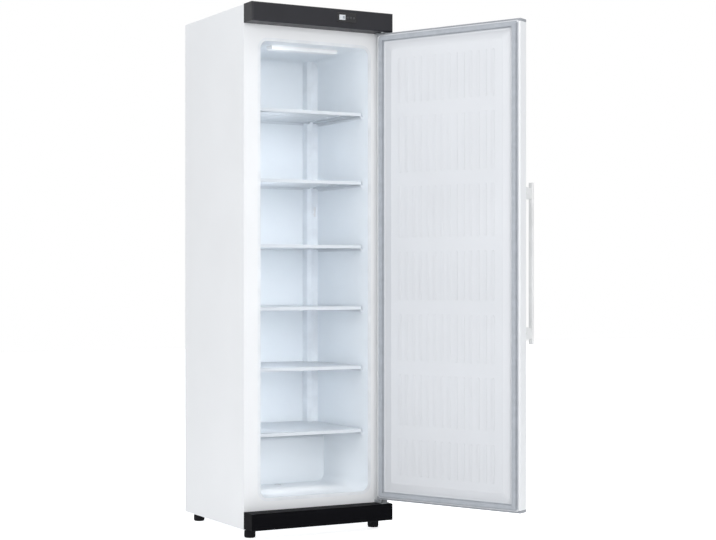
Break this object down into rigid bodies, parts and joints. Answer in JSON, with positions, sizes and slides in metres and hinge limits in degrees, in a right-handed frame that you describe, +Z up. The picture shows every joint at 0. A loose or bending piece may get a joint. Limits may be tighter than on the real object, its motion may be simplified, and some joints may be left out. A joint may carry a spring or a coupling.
{
  "type": "upright freezer",
  "caption": "Tall upright freezer with fixed evaporator shelves, black fascia and plinth, full-height hinged door and bar handle.",
  "frame": {"origin": "on the floor, in the middle of the cabinet's width, in the plane of the front frame where the door seals", "axes": "+X to the right of someone facing the door, +Y to the back, +Z up"},
  "size_m": [0.9195, 1.1009, 1.955],
  "materials": {
    "cabinet_wrap": "smooth white enamel",
    "front_rail": "smooth white enamel",
    "back_panel": "plain galvanised sheet",
    "base_pan": "galvanised sheet",
    "insulation": "rigid foam",
    "inner_liner": "glossy moulded white",
    "shelf_rails": "moulded white",
    "liner_trim": "light grey strip",
    "drain_tube": "smooth white",
    "drain_plug": "soft light grey",
    "shelf": "white enamelled sheet",
    "evaporator_coil": "dull drawn tube",
    "riser_pipes": "dull drawn tube",
    "duct_covers": "white",
    "temperature_probe": "white",
    "lamp_base": "white",
    "lamp_lens": "milky white",
    "fascia": "satin black",
    "controller_housing": "black",
    "controller_bezel": "satin black",
    "display_window": "lit white window",
    "plinth": "satin black",
    "hinge_bracket": "zinc grey steel",
    "hinge_pins": "turned steel",
    "cabinet_screws": "zinc plated",
    "compressor": "black enamel",
    "compressor_mounts": "black rubber",
    "relay_box": "black",
    "filter_drier": "bare copper",
    "refrigerant_pipes": "bare copper",
    "condenser_tube": "black enamel",
    "condenser_wires": "black enamel",
    "condenser_clips": "black",
    "mains_inlet": "black",
    "door_skin": "smooth white enamel",
    "door_caps": "grey",
    "door_foam": "rigid foam",
    "door_liner": "formed plastic sheet",
    "door_gasket": "soft grey",
    "hinge_bushes": "grey nylon",
    "handle_bar": "light grey",
    "handle_posts": "light grey",
    "key": "soft black",
    "foot": "black"
  },
  "bodies": {
    "cabinet": {"cabinet_wrap": "cabinet_wrap", "front_rail": "front_rail", "back_panel": "back_panel", "base_pan": "base_pan", "insulation": "insulation", "inner_liner": "inner_liner", "shelf_rails": "shelf_rails", "liner_trim": "liner_trim", "drain_tube": "drain_tube", "drain_plug": "drain_plug", "shelf_1": "shelf", "shelf_2": "shelf", "shelf_3": "shelf", "shelf_4": "shelf", "shelf_5": "shelf", "shelf_6": "shelf", "evaporator_coil_1": "evaporator_coil", "evaporator_coil_2": "evaporator_coil", "evaporator_coil_3": "evaporator_coil", "evaporator_coil_4": "evaporator_coil", "evaporator_coil_5": "evaporator_coil", "evaporator_coil_6": "evaporator_coil", "riser_pipes": "riser_pipes", "duct_covers": "duct_covers", "temperature_probe": "temperature_probe", "lamp_base": "lamp_base", "lamp_lens": "lamp_lens", "fascia": "fascia", "controller_housing": "controller_housing", "controller_bezel": "controller_bezel", "display_window": "display_window", "plinth": "plinth", "upper_hinge_bracket": "hinge_bracket", "lower_hinge_bracket": "hinge_bracket", "hinge_pins": "hinge_pins", "cabinet_screws": "cabinet_screws", "compressor": "compressor", "compressor_mounts": "compressor_mounts", "relay_box": "relay_box", "filter_drier": "filter_drier", "refrigerant_pipes": "refrigerant_pipes", "condenser_tube": "condenser_tube", "condenser_wires": "condenser_wires", "condenser_clips": "condenser_clips", "mains_inlet": "mains_inlet"},
    "door": {"door_skin": "door_skin", "door_caps": "door_caps", "door_foam": "door_foam", "door_liner": "door_liner", "door_gasket": "door_gasket", "hinge_bushes": "hinge_bushes", "handle_bar": "handle_bar", "handle_posts": "handle_posts"},
    "key_down": {"key_down": "key"},
    "key_up": {"key_up": "key"},
    "key_set": {"key_set": "key"},
    "foot_front_left": {"foot_front_left": "foot"},
    "foot_front_right": {"foot_front_right": "foot"},
    "foot_rear_left": {"foot_rear_left": "foot"},
    "foot_rear_right": {"foot_rear_right": "foot"}
  },
  "joints": [
    {"name": "door_hinge", "type": "hinge", "parent": "cabinet", "child": "door", "pos_m": [0.282, -0.034, 0.99], "axis": [0, 0, 1], "range_deg": [-116, 14]},
    {"name": "key_down_press", "type": "slide", "parent": "cabinet", "child": "key_down", "axis": [0, 1, 0], "range_m": [0, 0.001], "stiffness_N_per_m": 400},
    {"name": "key_up_press", "type": "slide", "parent": "cabinet", "child": "key_up", "axis": [0, 1, 0], "range_m": [0, 0.001], "stiffness_N_per_m": 400},
    {"name": "key_set_press", "type": "slide", "parent": "cabinet", "child": "key_set", "axis": [0, 1, 0], "range_m": [0, 0.001], "stiffness_N_per_m": 400},
    {"name": "foot_front_left_turn", "type": "hinge", "parent": "cabinet", "child": "foot_front_left", "pos_m": [-0.265, 0.02, 0.02], "axis": [0, 0, 1], "continuous": true},
    {"name": "foot_front_right_turn", "type": "hinge", "parent": "cabinet", "child": "foot_front_right", "pos_m": [0.265, 0.02, 0.02], "axis": [0, 0, 1], "continuous": true},
    {"name": "foot_rear_left_turn", "type": "hinge", "parent": "cabinet", "child": "foot_rear_left", "pos_m": [-0.265, 0.458, 0.02], "axis": [0, 0, 1], "continuous": true},
    {"name": "foot_rear_right_turn", "type": "hinge", "parent": "cabinet", "child": "foot_rear_right", "pos_m": [0.265, 0.458, 0.02], "axis": [0, 0, 1], "continuous": true}
  ]
}
